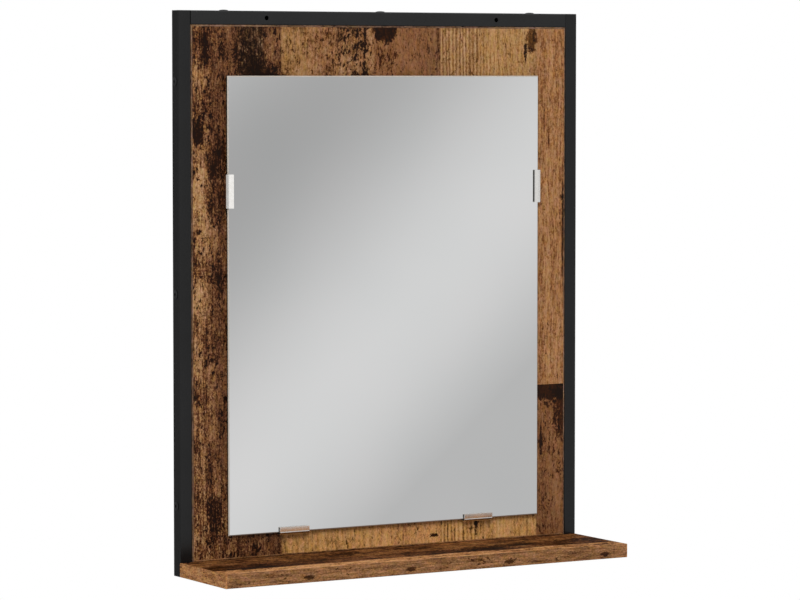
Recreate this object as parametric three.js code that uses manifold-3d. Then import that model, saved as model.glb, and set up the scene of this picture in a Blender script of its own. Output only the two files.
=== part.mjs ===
// A wall mirror with a shelf. A welded frame of square steel tube holds a board inside it. A mirror
// glass stands in front of the board in four bent metal clips, and a shelf board is screwed to the
// front of the frame's bottom rail. Everything is fixed: nothing on it moves.
//
// Units are millimetres. +X runs to the right across the front, +Y into the wall and +Z up.
// The model is built with the wall at Y = 0 and the bottom of the frame at Z = 0, and is then
// lowered, so that its origin lies on the wall at the height of the two wall screw holes.

import * as THREE from 'three';
import { mergeVertices } from 'three/addons/utils/BufferGeometryUtils.js';
import Module from 'manifold-3d';

const wasm = await Module();
wasm.setup();

// Frame
const FRAME_WIDTH = 500;
const FRAME_HEIGHT = 600;
const TUBE = 15; // outside of the square tube
const TUBE_WALL = 1.2;
const TUBE_CORNER = 1.5; // outside corner radius of the tube
const WELD_GAP = 0.1; // between a rail's end and the upright that it is welded to
const CAP_LIP = 1; // plastic caps close the uprights' ends, flush with the tube
const CAP_PLUG = 9; // how far a cap reaches into its tube
const CAP_WALL = 1.5;
const WALL_HOLE_RADIUS = 2.5;
const WALL_HOLE_X = 144; // from the middle of the top rail

// Boards, with a plastic band glued on their visible edges
const BOARD = 15;
const EDGE_BAND = 1.5;
const BAND_CORNER = 0.6;
const GLUE_LINE = 0.1;
const FIT_GAP = 0.3;
const SHELF_DEPTH = 105; // in front of the frame

// Mirror
const MIRROR_WIDTH = 390;
const MIRROR_HEIGHT = 490;
const MIRROR_BOTTOM = 41; // above the bottom of the frame
const GLASS = 4;
const STAND_OFF = 3; // from the board to the back of the glass
const PAD_SIDE = 30;
const PAD_INSET = 45; // from a pad's middle to the glass's side, top or bottom edge

// Clips that hold the glass
const CLIP_LENGTH = 36;
const CLIP_SHEET = 1.2;
const CLIP_BEND = 2; // outside radius of both bends
const CLIP_TAB = 8; // reach of the front tab, from the clip's outer face
const CLIP_LEG = 16; // reach of the leg behind the glass
const CLIP_EDGE_GAP = 0.8; // between the glass's edge and the clip's wall
const CLIP_FACE_GAP = 0.3; // between the glass's face and the clip's tab
const SIDE_CLIP_HEIGHT = 0.75; // share of the glass's height
const BOTTOM_CLIP_X = 116; // from the middle of the glass

// Screws: { shank radius, length under the head, head radius, rim and crown height, recess }
const FRAME_SCREW = { shank: 1.9, length: 35, head: 4.75, rim: 0.4, crown: 1, recess: 4.4 };
const CLIP_SCREW = { shank: 1.4, length: 12, head: 2.6, rim: 0.7, crown: 1.5, recess: 2.8 };
const CLIP_SCREW_SPREAD = 10; // from the middle of the clip
const PILOT_CLEARANCE = 0.3; // round a screw, in a board
const TUBE_CLEARANCE = 0.5; // round a screw, in a tube's wall or a clip
const ACCESS_RADIUS = 5.5; // lets a shelf screw's head in through the bottom rail's back
const SIDE_SCREW_HEIGHTS = [75, 300, 525];
const RAIL_SCREW_X = [-192, 0, 192];
const SHELF_SCREW_X = [-210, -70, 70, 210];

// How finely the round shapes are cut
const CORNER_STEPS = 2;
const HOLE_SIDES = 10;
const SCREW_SIDES = 12;
const CROWN_STEPS = 2;

const INNER_WIDTH = FRAME_WIDTH - 2 * TUBE;
const INNER_HEIGHT = FRAME_HEIGHT - 2 * TUBE;
const TUBE_MIDDLE = TUBE / 2;
const BOARD_FRONT = -TUBE; // the board is flush with the front of the frame
const BAND_ALLOWANCE = EDGE_BAND + GLUE_LINE;

const FINISH = {
  powderCoat: { color: '#161717', roughness: 0.35, metalness: 0 },
  blackPlastic: { color: '#141414', roughness: 0.5, metalness: 0 },
  board: { color: '#6f4a30', roughness: 0.55, metalness: 0 },
  edgeBand: { color: '#96683f', roughness: 0.5, metalness: 0 },
  mirror: { color: '#c9cccd', roughness: 0.02, metalness: 1 },
  polishedSteel: { color: '#dedfe0', roughness: 0.08, metalness: 1 },
  foam: { color: '#e8e6df', roughness: 0.9, metalness: 0 },
  blackScrew: { color: '#17181a', roughness: 0.35, metalness: 0.6 },
  zincScrew: { color: '#b9bcc0', roughness: 0.3, metalness: 1 },
};

const RIGHT = new THREE.Vector3(1, 0, 0);
const INTO_WALL = new THREE.Vector3(0, 1, 0);
const UP = new THREE.Vector3(0, 0, 1);
const LEFT = RIGHT.clone().negate();
const FORWARD = INTO_WALL.clone().negate();
const DOWN = UP.clone().negate();

const assembly = new THREE.Group();

// Solids

function toSolid(geometry) {
  const bare = geometry.clone();
  bare.deleteAttribute('normal');
  bare.deleteAttribute('uv');
  const merged = mergeVertices(bare);
  const corners = merged.index.array;
  const triangles = [];
  for (let i = 0; i < corners.length; i += 3) {
    const [a, b, c] = corners.slice(i, i + 3);
    const flat = a === b || b === c || c === a; // as at the poles of a turned shape
    if (!flat) triangles.push(a, b, c);
  }
  return new wasm.Manifold(
    new wasm.Mesh({
      numProp: 3,
      vertProperties: new Float32Array(merged.attributes.position.array),
      triVerts: new Uint32Array(triangles),
    }),
  );
}

function toGeometry(solid) {
  const mesh = solid.getMesh();
  const geometry = new THREE.BufferGeometry();
  geometry.setAttribute('position', new THREE.BufferAttribute(mesh.vertProperties, 3));
  geometry.setIndex(new THREE.BufferAttribute(mesh.triVerts, 1));
  return geometry;
}

function cut(geometry, tools) {
  return toGeometry(tools.reduce((solid, tool) => solid.subtract(tool), toSolid(geometry)));
}

// A round hole's solid, from a starting point along a direction. Its flats lie at the radius, so
// that a peg of that radius passes.
function drill(radius, start, direction, depth) {
  const cornerRadius = radius / Math.cos(Math.PI / HOLE_SIDES);
  const bit = new THREE.CylinderGeometry(cornerRadius, cornerRadius, depth, HOLE_SIDES);
  bit.translate(0, depth / 2, 0);
  bit.applyQuaternion(new THREE.Quaternion().setFromUnitVectors(INTO_WALL, direction));
  bit.translate(start.x, start.y, start.z);
  return toSolid(bit);
}

function at(x, y, z) {
  return new THREE.Vector3(x, y, z);
}

// Adds a piece. Its own x and y axes are turned to the two given directions.
function addPiece(name, finish, geometry, position, xAxis = RIGHT, yAxis = INTO_WALL) {
  const mesh = new THREE.Mesh(geometry, new THREE.MeshStandardMaterial(finish));
  const zAxis = xAxis.clone().cross(yAxis);
  mesh.name = name;
  mesh.position.copy(position);
  mesh.setRotationFromMatrix(new THREE.Matrix4().makeBasis(xAxis, yAxis, zAxis));
  assembly.add(mesh);
}

function square(side) {
  const half = side / 2;
  const corners = [[half, -half], [half, half], [-half, half], [-half, -half]];
  return new THREE.Shape(corners.map(([x, y]) => new THREE.Vector2(x, y)));
}

function roundedSquare(side, radius) {
  const half = side / 2;
  const middle = half - radius;
  const outline = new THREE.Shape();
  outline.moveTo(half, -middle);
  outline.absarc(middle, middle, radius, 0, Math.PI / 2);
  outline.absarc(-middle, middle, radius, Math.PI / 2, Math.PI);
  outline.absarc(-middle, -middle, radius, Math.PI, 1.5 * Math.PI);
  outline.absarc(middle, -middle, radius, 1.5 * Math.PI, 2 * Math.PI);
  return outline;
}

function extrude(outline, depth) {
  const settings = { depth, bevelEnabled: false, curveSegments: CORNER_STEPS };
  return new THREE.ExtrudeGeometry(outline, settings);
}

// Square tube along its own z axis, centred on it.
function tube(length) {
  const outline = roundedSquare(TUBE, TUBE_CORNER);
  outline.holes.push(square(TUBE - 2 * TUBE_WALL));
  return extrude(outline, length);
}

// A hole through both walls of a tube, at a distance along it.
function throughTube(radius, direction, along) {
  const start = direction.clone().multiplyScalar(-TUBE);
  return drill(radius, start.setZ(along), direction, 2 * TUBE);
}

// Screws point along their own -y axis, with the head's underside at the origin.
function screw({ shank, length, head, rim, crown, recess }) {
  const tip = 2 * shank;
  const dome = crown - rim;
  const domeRadius = (head * head + dome * dome) / (2 * dome);
  const profile = [
    new THREE.Vector2(0, -length),
    new THREE.Vector2(shank, tip - length),
    new THREE.Vector2(shank, 0),
    new THREE.Vector2(head, 0),
  ];
  for (let step = 0; step <= CROWN_STEPS; step += 1) {
    const radius = head * (1 - step / CROWN_STEPS);
    const drop = domeRadius - Math.sqrt(domeRadius ** 2 - radius ** 2);
    profile.push(new THREE.Vector2(radius, crown - drop));
  }
  const body = new THREE.LatheGeometry(profile, SCREW_SIDES);
  return cut(body, [crossWing(recess, crown, 0), crossWing(recess, crown, Math.PI / 2)]);
}

// One wing of a cross recess: a wedge that narrows to the screw's middle.
function crossWing(width, crown, turn) {
  const depth = width / 2;
  const wing = new THREE.Shape();
  wing.moveTo(-width / 2, crown + 0.1);
  wing.lineTo(-width / 6, crown - depth);
  wing.lineTo(width / 6, crown - depth);
  wing.lineTo(width / 2, crown + 0.1);
  wing.closePath();
  const thickness = width / 5;
  const wedge = extrude(wing, thickness);
  wedge.translate(0, 0, -thickness / 2);
  wedge.rotateY(turn);
  return toSolid(wedge);
}

// Frame: two full-height uprights with the rails between them

function buildUpright(side, sign, inward) {
  const x = sign * (FRAME_WIDTH / 2 - TUBE_MIDDLE);
  const holes = SIDE_SCREW_HEIGHTS.map((height) =>
    throughTube(FRAME_SCREW.shank + TUBE_CLEARANCE, RIGHT, height - CAP_LIP),
  );
  const bar = cut(tube(FRAME_HEIGHT - 2 * CAP_LIP), holes);
  addPiece(`${side}_upright`, FINISH.powderCoat, bar, at(x, -TUBE_MIDDLE, CAP_LIP));
  addPiece(`${side}_bottom_cap`, FINISH.blackPlastic, endCap(), at(x, -TUBE_MIDDLE, 0));
  const top = at(x, -TUBE_MIDDLE, FRAME_HEIGHT);
  addPiece(`${side}_top_cap`, FINISH.blackPlastic, endCap(), top, RIGHT, FORWARD);
  SIDE_SCREW_HEIGHTS.forEach((height, index) => {
    const head = at(sign * (FRAME_WIDTH / 2 + GLUE_LINE), -TUBE_MIDDLE, height);
    addScrew(`${side}_screw_${index + 1}`, FRAME_SCREW, FINISH.blackScrew, head, inward);
  });
}

// A cap: a thin square lip, and a hollow plug that grips inside the tube. It points along +z.
function endCap() {
  const plugSide = TUBE - 2 * TUBE_WALL - 2 * FIT_GAP;
  const plug = square(plugSide);
  plug.holes.push(square(plugSide - 2 * CAP_WALL));
  const lipDepth = CAP_LIP - GLUE_LINE;
  const ring = extrude(plug, CAP_PLUG);
  ring.translate(0, 0, lipDepth / 2);
  const lip = extrude(roundedSquare(TUBE, TUBE_CORNER), lipDepth);
  return toGeometry(toSolid(lip).add(toSolid(ring)));
}

function addScrew(name, size, finish, head, direction) {
  const yAxis = direction.clone().negate();
  const xAxis = Math.abs(direction.z) > 0.5 ? RIGHT : UP;
  addPiece(name, finish, screw(size), head, xAxis, yAxis);
}

// A rail's own z axis runs along +X, so its own x axis points down. Distances along it start at
// its left end.
function buildRail(name, height, holes) {
  const length = INNER_WIDTH - 2 * WELD_GAP;
  const start = at(-length / 2, -TUBE_MIDDLE, height);
  addPiece(name, FINISH.powderCoat, cut(tube(length), holes), start, DOWN, INTO_WALL);
}

function alongRail(x) {
  return x + INNER_WIDTH / 2 - WELD_GAP;
}

function buildRails() {
  const screwHole = FRAME_SCREW.shank + TUBE_CLEARANCE;
  const boardHoles = RAIL_SCREW_X.map((x) => throughTube(screwHole, RIGHT, alongRail(x)));
  const wallHoles = [-WALL_HOLE_X, WALL_HOLE_X].map((x) =>
    throughTube(WALL_HOLE_RADIUS, INTO_WALL, alongRail(x)),
  );
  const shelfHoles = SHELF_SCREW_X.flatMap((x) => [
    throughTube(screwHole, INTO_WALL, alongRail(x)),
    drill(ACCESS_RADIUS, at(0, 0, alongRail(x)), INTO_WALL, TUBE),
  ]);
  buildRail('top_rail', FRAME_HEIGHT - TUBE_MIDDLE, [...boardHoles, ...wallHoles]);
  buildRail('bottom_rail', TUBE_MIDDLE, [...boardHoles, ...shelfHoles]);
  RAIL_SCREW_X.forEach((x, index) => {
    const topHead = at(x, -TUBE_MIDDLE, FRAME_HEIGHT + GLUE_LINE);
    const bottomHead = at(x, -TUBE_MIDDLE, -GLUE_LINE);
    addScrew(`top_screw_${index + 1}`, FRAME_SCREW, FINISH.blackScrew, topHead, DOWN);
    addScrew(`bottom_screw_${index + 1}`, FRAME_SCREW, FINISH.blackScrew, bottomHead, UP);
  });
}

// Boards and their edge bands

// A band along its own z axis. Its glued face is its own y = 0 plane, and it is as wide as the board.
function edgeBand(length) {
  const half = BOARD / 2;
  const outline = new THREE.Shape();
  outline.moveTo(-half, 0);
  outline.lineTo(half, 0);
  outline.lineTo(half, EDGE_BAND - BAND_CORNER);
  outline.absarc(half - BAND_CORNER, EDGE_BAND - BAND_CORNER, BAND_CORNER, 0, Math.PI / 2);
  outline.lineTo(BAND_CORNER - half, EDGE_BAND);
  outline.absarc(
    BAND_CORNER - half, EDGE_BAND - BAND_CORNER, BAND_CORNER, Math.PI / 2, Math.PI,
  );
  outline.closePath();
  const band = extrude(outline, length);
  band.translate(0, 0, -length / 2);
  return band;
}

function bandHoles(places) {
  const radius = FRAME_SCREW.shank + PILOT_CLEARANCE;
  return places.map((z) => drill(radius, at(0, -EDGE_BAND, z), INTO_WALL, 4 * EDGE_BAND));
}

function buildPanel() {
  const outerWidth = INNER_WIDTH - 2 * FIT_GAP;
  const outerHeight = INNER_HEIGHT - 2 * FIT_GAP;
  const width = outerWidth - 2 * BAND_ALLOWANCE;
  const height = outerHeight - 2 * BAND_ALLOWANCE;
  const middle = FRAME_HEIGHT / 2;
  const bandY = BOARD_FRONT + BOARD / 2;
  const pilot = FRAME_SCREW.shank + PILOT_CLEARANCE;
  const reach = FRAME_SCREW.length - TUBE - FIT_GAP - EDGE_BAND + PILOT_CLEARANCE;
  const edgePilots = [];
  SIDE_SCREW_HEIGHTS.forEach((screwHeight) => {
    const z = screwHeight - middle;
    edgePilots.push(drill(pilot, at(-width / 2 - 1, 0, z), RIGHT, reach + 1));
    edgePilots.push(drill(pilot, at(width / 2 + 1, 0, z), LEFT, reach + 1));
  });
  RAIL_SCREW_X.forEach((x) => {
    edgePilots.push(drill(pilot, at(x, 0, height / 2 + 1), DOWN, reach + 1));
    edgePilots.push(drill(pilot, at(x, 0, -height / 2 - 1), UP, reach + 1));
  });
  const clipPilots = clipPlaces().flatMap(({ place, inward, along }) =>
    clipScrewPlaces(place, inward, along).map((head) => {
      const start = at(head.x, -BOARD / 2 - 1, head.z - middle);
      return drill(CLIP_SCREW.shank + PILOT_CLEARANCE, start, INTO_WALL, CLIP_SCREW.length + 1);
    }),
  );
  const board = cut(new THREE.BoxGeometry(width, BOARD, height), [...edgePilots, ...clipPilots]);
  addPiece('panel_board', FINISH.board, board, at(0, bandY, middle));

  const sideHoles = bandHoles(SIDE_SCREW_HEIGHTS.map((screwHeight) => screwHeight - middle));
  const railHoles = bandHoles(RAIL_SCREW_X);
  const bandX = outerWidth / 2 - EDGE_BAND;
  const bandZ = outerHeight / 2 - EDGE_BAND;
  const sideBand = cut(edgeBand(outerHeight), sideHoles);
  const railBand = cut(edgeBand(width), railHoles);
  const add = (name, geometry, x, z, xAxis, yAxis) =>
    addPiece(`panel_band_${name}`, FINISH.edgeBand, geometry, at(x, bandY, z), xAxis, yAxis);
  add('left', sideBand, -bandX, middle, INTO_WALL, LEFT);
  add('right', sideBand, bandX, middle, FORWARD, RIGHT);
  add('top', railBand, 0, middle + bandZ, INTO_WALL, UP);
  add('bottom', railBand, 0, middle - bandZ, FORWARD, DOWN);
}

function buildShelf() {
  const back = BOARD_FRONT - GLUE_LINE;
  const front = BOARD_FRONT - SHELF_DEPTH;
  const width = FRAME_WIDTH - 2 * BAND_ALLOWANCE;
  const depth = back - front - BAND_ALLOWANCE;
  const middleZ = BOARD / 2;
  const underHead = FRAME_SCREW.length - TUBE_WALL - GLUE_LINE;
  const pilots = SHELF_SCREW_X.map((x) =>
    drill(
      FRAME_SCREW.shank + PILOT_CLEARANCE,
      at(x, depth / 2 + 1, 0),
      FORWARD,
      underHead + PILOT_CLEARANCE + 1,
    ),
  );
  const board = cut(new THREE.BoxGeometry(width, depth, BOARD), pilots);
  addPiece('shelf_board', FINISH.board, board, at(0, back - depth / 2, middleZ));
  const sideLength = back - front;
  const sideX = FRAME_WIDTH / 2 - EDGE_BAND;
  const sideY = (back + front) / 2;
  const add = (name, length, x, y, xAxis, yAxis) =>
    addPiece(
      `shelf_band_${name}`, FINISH.edgeBand, edgeBand(length), at(x, y, middleZ), xAxis, yAxis,
    );
  add('front', width, 0, front + EDGE_BAND, UP, FORWARD);
  add('left', sideLength, -sideX, sideY, UP, LEFT);
  add('right', sideLength, sideX, sideY, UP, RIGHT);
  SHELF_SCREW_X.forEach((x, index) => {
    const head = at(x, BOARD_FRONT + TUBE_WALL + GLUE_LINE, middleZ);
    addScrew(`shelf_screw_${index + 1}`, FRAME_SCREW, FINISH.zincScrew, head, FORWARD);
  });
}

// Mirror glass, its pads and its clips

function buildMirror() {
  const glassBack = BOARD_FRONT - STAND_OFF;
  const middleZ = MIRROR_BOTTOM + MIRROR_HEIGHT / 2;
  const glass = new THREE.BoxGeometry(MIRROR_WIDTH, GLASS, MIRROR_HEIGHT);
  addPiece('mirror_glass', FINISH.mirror, glass, at(0, glassBack - GLASS / 2, middleZ));
  const padDepth = STAND_OFF - 2 * GLUE_LINE;
  const padX = MIRROR_WIDTH / 2 - PAD_INSET;
  const padZ = MIRROR_HEIGHT / 2 - PAD_INSET;
  for (const [side, x] of [['left', -padX], ['right', padX]]) {
    for (const [end, z] of [['bottom', -padZ], ['top', padZ]]) {
      const pad = new THREE.BoxGeometry(PAD_SIDE, padDepth, PAD_SIDE);
      const place = at(x, BOARD_FRONT - STAND_OFF / 2, middleZ + z);
      addPiece(`mirror_pad_${end}_${side}`, FINISH.foam, pad, place);
    }
  }
  clipPlaces().forEach(({ name, place, inward, along }) => {
    addPiece(`mirror_clip_${name}`, FINISH.polishedSteel, clip(), place, inward, FORWARD);
    clipScrewPlaces(place, inward, along).forEach((head, index) => {
      addScrew(`clip_${name}_screw_${index + 1}`, CLIP_SCREW, FINISH.zincScrew, head, INTO_WALL);
    });
  });
}

// Each clip's outer corner on the board, the way from there into the glass, and the way along it.
function clipPlaces() {
  const y = BOARD_FRONT - GLUE_LINE;
  const outside = CLIP_EDGE_GAP + CLIP_SHEET;
  const sideX = MIRROR_WIDTH / 2 + outside;
  const sideZ = MIRROR_BOTTOM + MIRROR_HEIGHT * SIDE_CLIP_HEIGHT;
  const bottomZ = MIRROR_BOTTOM - outside;
  return [
    { name: 'left', place: at(-sideX, y, sideZ), inward: RIGHT, along: UP },
    { name: 'right', place: at(sideX, y, sideZ), inward: LEFT, along: UP },
    { name: 'bottom_left', place: at(-BOTTOM_CLIP_X, y, bottomZ), inward: UP, along: RIGHT },
    { name: 'bottom_right', place: at(BOTTOM_CLIP_X, y, bottomZ), inward: UP, along: RIGHT },
  ];
}

function clipScrewPlaces(place, inward, along) {
  const head = place.clone().addScaledVector(inward, (CLIP_LEG + CLIP_BEND) / 2);
  head.addScaledVector(FORWARD, CLIP_SHEET + GLUE_LINE);
  return [-CLIP_SCREW_SPREAD, CLIP_SCREW_SPREAD].map((distance) =>
    head.clone().addScaledVector(along, distance),
  );
}

// A strip bent to a J round the edge of the glass. Its own x axis points into the glass and its
// own y axis forward from the board, and its length lies along its own z axis.
function clip() {
  const depth = STAND_OFF + GLASS + CLIP_FACE_GAP + CLIP_SHEET - GLUE_LINE;
  const inside = CLIP_BEND - CLIP_SHEET;
  const outline = new THREE.Shape();
  outline.moveTo(CLIP_LEG, 0);
  outline.lineTo(CLIP_LEG, CLIP_SHEET);
  outline.lineTo(CLIP_BEND, CLIP_SHEET);
  outline.absarc(CLIP_BEND, CLIP_BEND, inside, 1.5 * Math.PI, Math.PI, true);
  outline.lineTo(CLIP_SHEET, depth - CLIP_BEND);
  outline.absarc(CLIP_BEND, depth - CLIP_BEND, inside, Math.PI, Math.PI / 2, true);
  outline.lineTo(CLIP_TAB, depth - CLIP_SHEET);
  outline.lineTo(CLIP_TAB, depth);
  outline.lineTo(CLIP_BEND, depth);
  outline.absarc(CLIP_BEND, depth - CLIP_BEND, CLIP_BEND, Math.PI / 2, Math.PI);
  outline.lineTo(0, CLIP_BEND);
  outline.absarc(CLIP_BEND, CLIP_BEND, CLIP_BEND, Math.PI, 1.5 * Math.PI);
  outline.closePath();
  const strip = extrude(outline, CLIP_LENGTH);
  strip.translate(0, 0, -CLIP_LENGTH / 2);
  const holeX = (CLIP_LEG + CLIP_BEND) / 2;
  const holes = [-CLIP_SCREW_SPREAD, CLIP_SCREW_SPREAD].map((z) =>
    drill(CLIP_SCREW.shank + TUBE_CLEARANCE, at(holeX, -1, z), INTO_WALL, CLIP_SHEET + 2),
  );
  return cut(strip, holes);
}

buildUpright('left', -1, RIGHT);
buildUpright('right', 1, LEFT);
buildRails();
buildPanel();
buildShelf();
buildMirror();

const wallMirror = new THREE.Group();
assembly.position.z = -(FRAME_HEIGHT - TUBE_MIDDLE);
wallMirror.add(assembly);

export default wallMirror;
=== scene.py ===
import math

import bmesh
import bpy
from mathutils import Matrix, Vector


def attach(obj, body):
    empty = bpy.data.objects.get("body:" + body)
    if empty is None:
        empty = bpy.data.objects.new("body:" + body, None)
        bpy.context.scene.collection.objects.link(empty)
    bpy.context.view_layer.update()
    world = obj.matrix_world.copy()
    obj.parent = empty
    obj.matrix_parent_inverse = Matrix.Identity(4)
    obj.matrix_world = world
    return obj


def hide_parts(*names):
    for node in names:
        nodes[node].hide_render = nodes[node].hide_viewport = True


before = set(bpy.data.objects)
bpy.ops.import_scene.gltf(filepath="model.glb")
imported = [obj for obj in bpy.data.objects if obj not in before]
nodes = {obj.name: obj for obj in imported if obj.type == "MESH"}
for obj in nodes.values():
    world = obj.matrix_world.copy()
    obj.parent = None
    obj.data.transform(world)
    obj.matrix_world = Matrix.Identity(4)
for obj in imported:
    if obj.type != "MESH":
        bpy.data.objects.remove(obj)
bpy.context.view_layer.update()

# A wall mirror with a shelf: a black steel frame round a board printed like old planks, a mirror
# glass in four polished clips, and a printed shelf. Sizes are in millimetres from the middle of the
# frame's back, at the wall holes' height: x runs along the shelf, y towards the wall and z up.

MM = 0.001
X = Vector((1, 0, 0))
Y = Vector((0, 1, 0))
Z = Vector((0, 0, 1))
SIDES = (("left", -1), ("right", 1))

TOUCH = 0.1  # the gap that stands for a weld, a glue line or a seated screw head
TUBE = 15
TUBE_WALL = 1.2
TUBE_CORNER = 1.5
CORNER_STEPS = 5
CAP_LIP = 0.9
FRAME_EDGE = 250
FRAME_TOP = 7.5
FRAME_BOTTOM = -592.5
MID_DEPTH = -TUBE / 2
RAIL_END = 234.9
BAND_END = 233.1
SIDE_SCREW_Z = [FRAME_BOTTOM + height for height in (75, 300, 525)]
RAIL_SCREW_X = (-192, 0, 192)
SHELF_SCREW_X = (-210, -70, 70, 210)
WALL_HOLE_X = 144

# The radii of drilled holes, and the flats round each of them and round each screw.
SCREW_HOLE = 2.4
WALL_HOLE = 2.5
ACCESS_HOLE = 5.5
BAND_HOLE = 2.2
CLIP_HOLE = 1.9
ROUND_STEPS = 32

GLASS_WIDTH = 390
GLASS_HEIGHT = 490
GLASS_THICKNESS = 4
GLASS_BOTTOM = FRAME_BOTTOM + 41
FOAM_THICKNESS = 3

CLIP_SHEET = 1.2
CLIP_OUT = GLASS_WIDTH / 2 + 2
CLIP_Y = -TUBE - TOUCH
SIDE_CLIP_Z = GLASS_BOTTOM + 0.75 * GLASS_HEIGHT
BOTTOM_CLIP_X = 116
BOTTOM_CLIP_Z = GLASS_BOTTOM - 2
CLIP_SCREW_IN = 9
CLIP_SCREW_ALONG = (-10, 10)

# A clip's name, the outer corner of its bend on the board, and the directions of its leg and tab
# and of its length.
CLIPS = [
    ("left", Vector((-CLIP_OUT, CLIP_Y, SIDE_CLIP_Z)), X, Z),
    ("right", Vector((CLIP_OUT, CLIP_Y, SIDE_CLIP_Z)), -X, Z),
    ("bottom_left", Vector((-BOTTOM_CLIP_X, CLIP_Y, BOTTOM_CLIP_Z)), Z, X),
    ("bottom_right", Vector((BOTTOM_CLIP_X, CLIP_Y, BOTTOM_CLIP_Z)), Z, X),
]


# Shapes

def place(origin, x_axis, z_axis):
    """Turns a shape's own x and z axes to two directions and moves it to a point."""
    turned = Matrix((x_axis, z_axis.cross(x_axis), z_axis)).transposed().to_4x4()
    return Matrix.Translation(Vector(origin)) @ turned


def aim(origin, direction):
    """Turns a shape's own z axis to a direction and moves it to a point."""
    return place(origin, X if abs(direction.dot(X)) < 0.5 else Y, direction)


def mesh_of(shape, name, crease=math.radians(35)):
    """A mesh in metres from a shape in millimetres, smooth apart from edges that turn sharply."""
    bmesh.ops.remove_doubles(shape, verts=shape.verts, dist=0.001)
    bmesh.ops.recalc_face_normals(shape, faces=shape.faces)
    bmesh.ops.scale(shape, vec=(MM, MM, MM), verts=shape.verts)
    for edge in shape.edges:
        edge.smooth = len(edge.link_faces) == 2 and edge.calc_face_angle(0) < crease
    for face in shape.faces:
        face.smooth = True
    mesh = bpy.data.meshes.new(name)
    shape.to_mesh(mesh)
    shape.free()
    return mesh


def drilled(mesh, bits):
    """The mesh with each bit's shape cut out of it."""
    for bit in bits:
        work = bpy.data.objects.new("work", mesh)
        tool = bpy.data.objects.new("tool", mesh_of(bit, "tool"))
        for thing in (work, tool):
            bpy.context.scene.collection.objects.link(thing)
        cut = work.modifiers.new("cut", "BOOLEAN")
        cut.operation = "DIFFERENCE"
        cut.solver = "EXACT"
        cut.object = tool
        graph = bpy.context.evaluated_depsgraph_get()
        mesh = bpy.data.meshes.new_from_object(work.evaluated_get(graph))
        for thing in (work, tool):
            bpy.data.objects.remove(thing)
    return mesh


def add_piece(name, mesh, materials, replaced):
    """A finished piece that takes the place of a plain CAD node. Its flat faces are shaded flat."""
    piece = bpy.data.objects.new(name, mesh)
    bpy.context.scene.collection.objects.link(piece)
    for material in materials:
        mesh.materials.append(material)
    even = piece.modifiers.new("flat_faces_stay_flat", "WEIGHTED_NORMAL")
    even.keep_sharp = True
    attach(piece, "root")
    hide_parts(replaced)


def block(width, depth, height):
    shape = bmesh.new()
    bmesh.ops.create_cube(shape, size=1)
    bmesh.ops.scale(shape, vec=(width, depth, height), verts=shape.verts)
    return shape


def edges_along(shape, axis):
    found = []
    for edge in shape.edges:
        run = edge.verts[1].co - edge.verts[0].co
        if abs(run.normalized().dot(axis)) > 0.999:
            found.append(edge)
    return found


def round_off(shape, edges, radius, steps, material=-1):
    """Bevels the edges in so many steps. A material of -1 is that of the faces beside them."""
    bmesh.ops.bevel(shape, geom=edges, offset=radius, offset_type="OFFSET", segments=steps,
                    profile=0.5, affect="EDGES", material=material, clamp_overlap=True)


def round_bit(radius, start, direction, depth):
    """What drills a round hole from a point, so deep in a direction."""
    shape = bmesh.new()
    bmesh.ops.create_cone(shape, cap_ends=True, segments=ROUND_STEPS, radius1=radius,
                          radius2=radius, depth=depth)
    bmesh.ops.translate(shape, vec=(0, 0, depth / 2), verts=shape.verts)
    bmesh.ops.transform(shape, matrix=aim(start, direction), verts=shape.verts)
    return shape


def square_tube(length):
    """Tube along its own z axis, centred, with rounded outer corners and open ends."""
    shape = block(TUBE, TUBE, length)
    ends = [face for face in shape.faces if abs(face.normal.z) > 0.9]
    bmesh.ops.delete(shape, geom=ends, context="FACES_ONLY")
    round_off(shape, edges_along(shape, Z), TUBE_CORNER, CORNER_STEPS)
    bmesh.ops.recalc_face_normals(shape, faces=shape.faces)
    bmesh.ops.solidify(shape, geom=shape.faces[:], thickness=TUBE_WALL)
    return shape


def end_cap():
    """A thin square lip with a hollow plug on it, pointing along its own +z axis."""
    plug = 9
    plug_wall = 1.5
    plug_fit = 0.3
    shape = block(TUBE, TUBE, CAP_LIP)
    bmesh.ops.translate(shape, vec=(0, 0, CAP_LIP / 2), verts=shape.verts)
    round_off(shape, edges_along(shape, Z), TUBE_CORNER, CORNER_STEPS)
    outer_rim = [edge for edge in shape.edges if max(vert.co.z for vert in edge.verts) < 0.01]
    round_off(shape, outer_rim, 0.35, 3)
    inner = [face for face in shape.faces if face.normal.z > 0.99]
    bmesh.ops.inset_region(shape, faces=inner, thickness=TUBE_WALL + plug_fit)
    for rise, narrow in ((plug, plug_wall), (-plug, 0)):
        grown = bmesh.ops.extrude_face_region(shape, geom=inner)
        bmesh.ops.delete(shape, geom=inner, context="FACES_ONLY")
        inner = [part for part in grown["geom"] if isinstance(part, bmesh.types.BMFace)]
        corners = {vert for face in inner for vert in face.verts}
        bmesh.ops.translate(shape, vec=(0, 0, rise), verts=list(corners))
        if narrow:
            bmesh.ops.inset_region(shape, faces=inner, thickness=narrow)
    return shape


def hexagon_bits(crown, across):
    """What cuts a hexagon socket into a screw's crown."""
    socket = bmesh.new()
    corner = across / math.sqrt(3)
    bmesh.ops.create_cone(socket, cap_ends=True, segments=6, radius1=corner, radius2=corner,
                          depth=across)
    bmesh.ops.translate(socket, vec=(0, 0, crown), verts=socket.verts)
    return [socket]


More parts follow.
